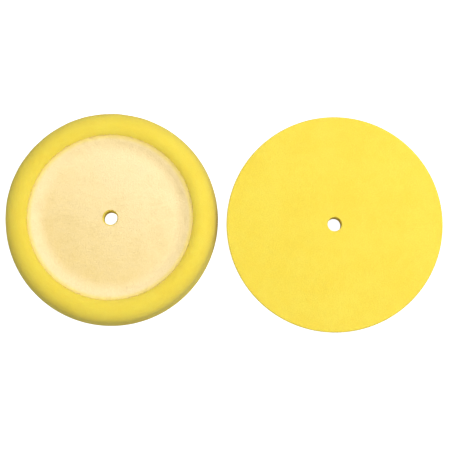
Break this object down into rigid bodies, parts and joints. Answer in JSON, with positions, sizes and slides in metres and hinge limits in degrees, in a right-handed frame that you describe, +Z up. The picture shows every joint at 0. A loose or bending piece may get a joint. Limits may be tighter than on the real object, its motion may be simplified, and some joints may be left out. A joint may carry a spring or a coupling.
{
  "type": "pair of foam polishing pads",
  "caption": "Pair of foam buffing pads for a rotary polisher: dished back lined with loop fabric, flat working face, centring hole through each.",
  "frame": {"origin": "middle of the pair's bounding box, on the surface that both pads lie on", "axes": "+X from the pad with its back up to the pad with its working face up, +Y to the back, +Z up and along each pad's axis"},
  "size_m": [0.414, 0.21, 0.032],
  "materials": {
    "foam": "soft matt open-cell polyurethane foam, bright yellow",
    "adhesive_film": "thin cloudy hot-melt film",
    "loop_fabric": "napped cream loop fabric, soft short pile"
  },
  "bodies": {
    "back_up_pad": {"back_up_foam": "foam"},
    "back_up_backing": {"back_up_film": "adhesive_film", "back_up_loop_fabric": "loop_fabric"},
    "face_up_pad": {"face_up_foam": "foam"},
    "face_up_backing": {"face_up_film": "adhesive_film", "face_up_loop_fabric": "loop_fabric"}
  },
  "joints": [
    {"name": "back_up_squash", "type": "slide", "parent": "back_up_pad", "child": "back_up_backing", "axis": [0, 0, -1], "range_m": [0, 0.005], "stiffness_N_per_m": 12000, "deforming": ["back_up_foam"]},
    {"name": "face_up_lift", "type": "slide", "parent": "back_up_pad", "child": "face_up_pad", "axis": [0, 0, 1], "range_m": [0, 0.08]},
    {"name": "face_up_squash", "type": "slide", "parent": "face_up_pad", "child": "face_up_backing", "axis": [0, 0, 1], "range_m": [0, 0.005], "stiffness_N_per_m": 12000, "deforming": ["face_up_foam"]}
  ]
}
